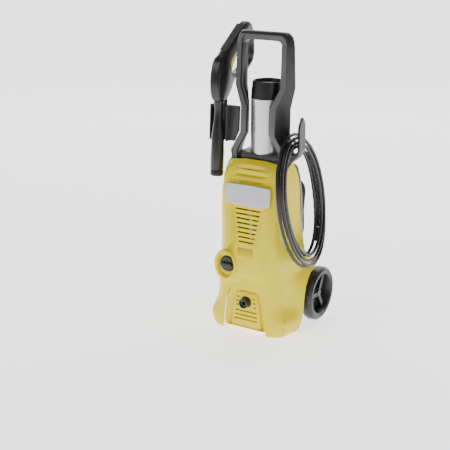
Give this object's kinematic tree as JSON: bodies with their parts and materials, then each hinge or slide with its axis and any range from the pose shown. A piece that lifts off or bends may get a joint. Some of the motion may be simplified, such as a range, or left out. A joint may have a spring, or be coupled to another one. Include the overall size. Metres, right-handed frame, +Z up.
{
  "type": "pressure washer",
  "caption": "Upright wheeled pressure washer with a tall handle frame, stored spray gun, coiled hose on a side hook and mains lead at the back.",
  "frame": {"origin": "centre of the machine's own footprint box at floor level, without hose and lead", "axes": "+Z up, -Y to the front, +X to the viewer's right when facing the front"},
  "size_m": [0.3294, 0.348, 0.9103],
  "materials": {
    "yellow": "satin",
    "black": "satin",
    "grey": "satin",
    "grip": "matte",
    "rubber": "matte",
    "hose": "satin",
    "silver": "brushed",
    "steel": "satin",
    "pump": "satin"
  },
  "bodies": {
    "machine": {"front_cover": "yellow", "rear_cover": "black", "base_tray": "black", "outlet_panel": "yellow", "badge_plate": "silver", "handle_post_left": "grey", "handle_post_right": "grey", "handle_bar": "grey", "motor_sleeve": "silver", "motor_cap": "black", "sleeve_collar": "grey", "motor_can": "steel", "pump_block": "pump", "pressure_pipe": "steel", "switch_box": "black", "capacitor": "steel", "outlet_socket": "grey", "axle": "steel", "hose_hook": "black", "hose_coil": "hose", "hose_fitting_gun": "black", "hose_fitting_pump": "black", "gun_holder": "grey", "cable_hook_lower": "black", "mains_hank": "rubber", "mains_lead": "rubber", "mains_plug": "rubber", "mains_gland": "rubber", "inlet_coupling": "black", "inlet_filter": "grey", "foot_pad_left": "rubber", "foot_pad_right": "rubber"},
    "wheel_left": {"tyre_left": "rubber", "rim_left": "black", "hub_cap_left": "black"},
    "wheel_right": {"tyre_right": "rubber", "rim_right": "black", "hub_cap_right": "black"},
    "switch_knob": {"switch_knob": "black"},
    "outlet_ring": {"outlet_ring": "black"},
    "motor_shaft": {"motor_shaft": "steel"},
    "piston_1": {"pump_piston_1": "steel"},
    "piston_2": {"pump_piston_2": "steel"},
    "piston_3": {"pump_piston_3": "steel"},
    "spray_gun": {"gun_half_left": "black", "gun_half_right": "black", "gun_grip_pad": "grip", "gun_barrel": "black", "gun_bayonet": "grey", "gun_valve": "steel", "gun_hose_socket": "grey", "gun_trigger_pin": "steel"},
    "gun_trigger": {"gun_trigger": "yellow"},
    "gun_lock": {"gun_lock": "grey"},
    "cable_hook": {"cable_hook_upper": "black"}
  },
  "joints": [
    {"name": "wheel_left_spin", "type": "hinge", "parent": "machine", "child": "wheel_left", "pos_m": [-0.1385, 0.0717, 0.0852], "axis": [1, 0, 0], "continuous": true},
    {"name": "wheel_right_spin", "type": "hinge", "parent": "machine", "child": "wheel_right", "pos_m": [0.1385, 0.0717, 0.0852], "axis": [1, 0, 0], "continuous": true},
    {"name": "switch_turn", "type": "hinge", "parent": "machine", "child": "switch_knob", "pos_m": [-0.06, -0.1438, 0.213], "axis": [0, 1, 0], "range_deg": [0, 90]},
    {"name": "outlet_release", "type": "slide", "parent": "machine", "child": "outlet_ring", "axis": [0, 1, 0], "range_m": [0, 0.003], "stiffness_N_per_m": 800, "springref_m": -0.003},
    {"name": "motor_spin", "type": "hinge", "parent": "machine", "child": "motor_shaft", "pos_m": [0, -0.0153, 0.5], "axis": [0, 0, 1], "continuous": true},
    {"name": "piston_1_stroke", "type": "slide", "parent": "machine", "child": "piston_1", "axis": [0, 0, -1], "range_m": [0, 0.004], "stiffness_N_per_m": 600, "springref_m": -0.004},
    {"name": "piston_2_stroke", "type": "slide", "parent": "machine", "child": "piston_2", "axis": [0, 0, -1], "range_m": [0, 0.004], "stiffness_N_per_m": 600, "springref_m": -0.004},
    {"name": "piston_3_stroke", "type": "slide", "parent": "machine", "child": "piston_3", "axis": [0, 0, -1], "range_m": [0, 0.004], "stiffness_N_per_m": 600, "springref_m": -0.004},
    {"name": "gun_lift", "type": "slide", "parent": "machine", "child": "spray_gun", "axis": [0, 0.0628, 0.998], "range_m": [0, 0.25]},
    {"name": "trigger_squeeze", "type": "hinge", "parent": "spray_gun", "child": "gun_trigger", "pos_m": [-0.127, -0.03009, 0.76334], "axis": [1, 0, 0], "range_deg": [0, 8], "stiffness_Nm_per_rad": 1.2, "springref_deg": -6.88},
    {"name": "lock_push", "type": "slide", "parent": "spray_gun", "child": "gun_lock", "axis": [1, 0, 0], "range_m": [0, 0.003]},
    {"name": "cable_hook_turn", "type": "hinge", "parent": "machine", "child": "cable_hook", "pos_m": [0.044, 0.0392, 0.406], "axis": [0, 1, 0], "range_deg": [0, 180]}
  ]
}
